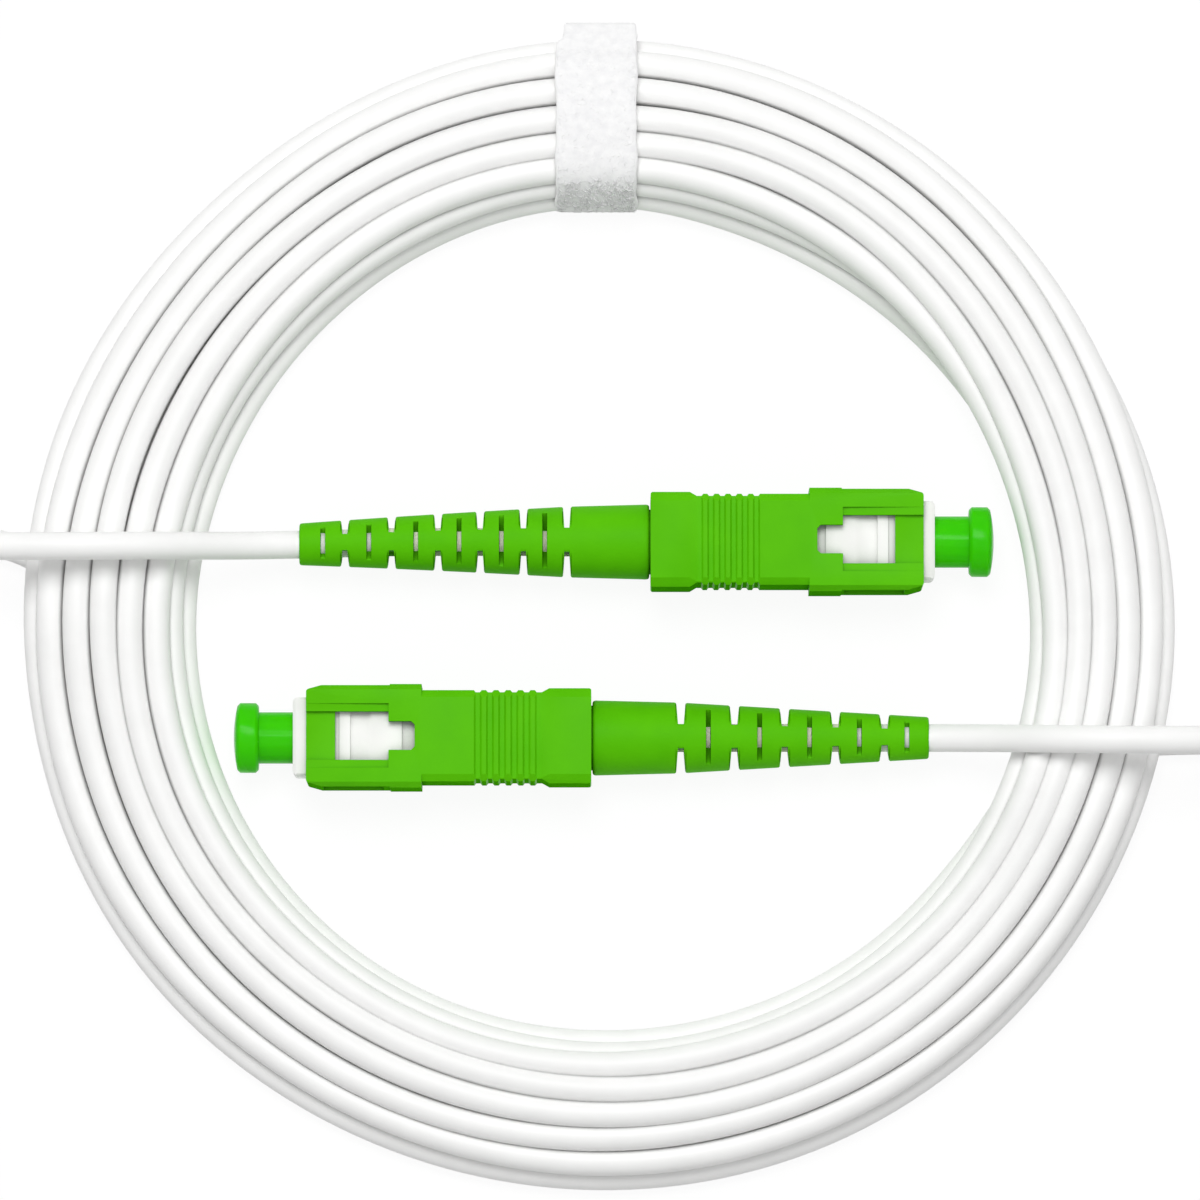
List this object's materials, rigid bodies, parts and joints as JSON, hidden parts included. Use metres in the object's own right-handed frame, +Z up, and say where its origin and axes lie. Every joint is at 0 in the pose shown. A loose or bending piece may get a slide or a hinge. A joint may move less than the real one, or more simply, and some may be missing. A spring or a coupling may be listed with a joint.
{
  "type": "fibre optic patch cord with sc connectors",
  "caption": "Simplex fibre optic patch cord with capped angle-polished SC connectors, its white cord wound in a ring and held by a hook-and-loop strap.",
  "frame": {"origin": "on the resting surface, midway between the two connectors", "axes": "+X along connector a towards its dust cap, +Y across the connectors towards the strap, +Z up from the resting surface"},
  "size_m": [0.1914, 0.1008, 0.011],
  "materials": {
    "green_plastic": "semi-gloss",
    "boot_green": "satin, flexible",
    "cap_green": "glossy, slightly translucent",
    "white_plastic": "satin",
    "cord_white": "satin jacket",
    "buffer_white": "satin",
    "strap_white": "short looped pile",
    "ceramic": "polished ceramic",
    "steel": "drawn",
    "nickel_plate": "nickel plated",
    "crimp_metal": "bright",
    "yarn": "loose aramid fibre"
  },
  "bodies": {
    "cord": {"plug_frame_a": "white_plastic", "stop_ring_a": "nickel_plate", "yarn_sleeve_a": "yarn", "crimp_ring_a": "crimp_metal", "boot_a": "boot_green", "buffer_tube_a": "buffer_white", "cord_end_a": "cord_white", "ferrule_spring_a": "steel", "plug_frame_b": "white_plastic", "stop_ring_b": "nickel_plate", "yarn_sleeve_b": "yarn", "crimp_ring_b": "crimp_metal", "boot_b": "boot_green", "buffer_tube_b": "buffer_white", "cord_end_b": "cord_white", "ferrule_spring_b": "steel", "cord_lead_a": "cord_white", "cord_lead_b": "cord_white", "cord_coil": "cord_white", "coil_tie": "strap_white"},
    "housing_a": {"outer_housing_a": "green_plastic"},
    "ferrule_a": {"ferrule_a": "ceramic", "ferrule_collar_a": "steel"},
    "cap_a": {"dust_cap_a": "cap_green"},
    "housing_b": {"outer_housing_b": "green_plastic"},
    "ferrule_b": {"ferrule_b": "ceramic", "ferrule_collar_b": "steel"},
    "cap_b": {"dust_cap_b": "cap_green"}
  },
  "joints": [
    {"name": "housing_slide_a", "type": "slide", "parent": "cord", "child": "housing_a", "axis": [1, 0, 0], "range_m": [-0.0018, 0]},
    {"name": "ferrule_push_a", "type": "slide", "parent": "cord", "child": "ferrule_a", "axis": [1, 0, 0], "range_m": [-0.001, 0], "stiffness_N_per_m": 800, "deforming": ["ferrule_spring_a"]},
    {"name": "cap_pull_a", "type": "slide", "parent": "ferrule_a", "child": "cap_a", "axis": [1, 0, 0], "range_m": [0, 0.0014]},
    {"name": "housing_slide_b", "type": "slide", "parent": "cord", "child": "housing_b", "axis": [-1, 0, 0], "range_m": [-0.0018, 0]},
    {"name": "ferrule_push_b", "type": "slide", "parent": "cord", "child": "ferrule_b", "axis": [-1, 0, 0], "range_m": [-0.001, 0], "stiffness_N_per_m": 800, "deforming": ["ferrule_spring_b"]},
    {"name": "cap_pull_b", "type": "slide", "parent": "ferrule_b", "child": "cap_b", "axis": [-1, 0, 0], "range_m": [0, 0.0009]}
  ]
}
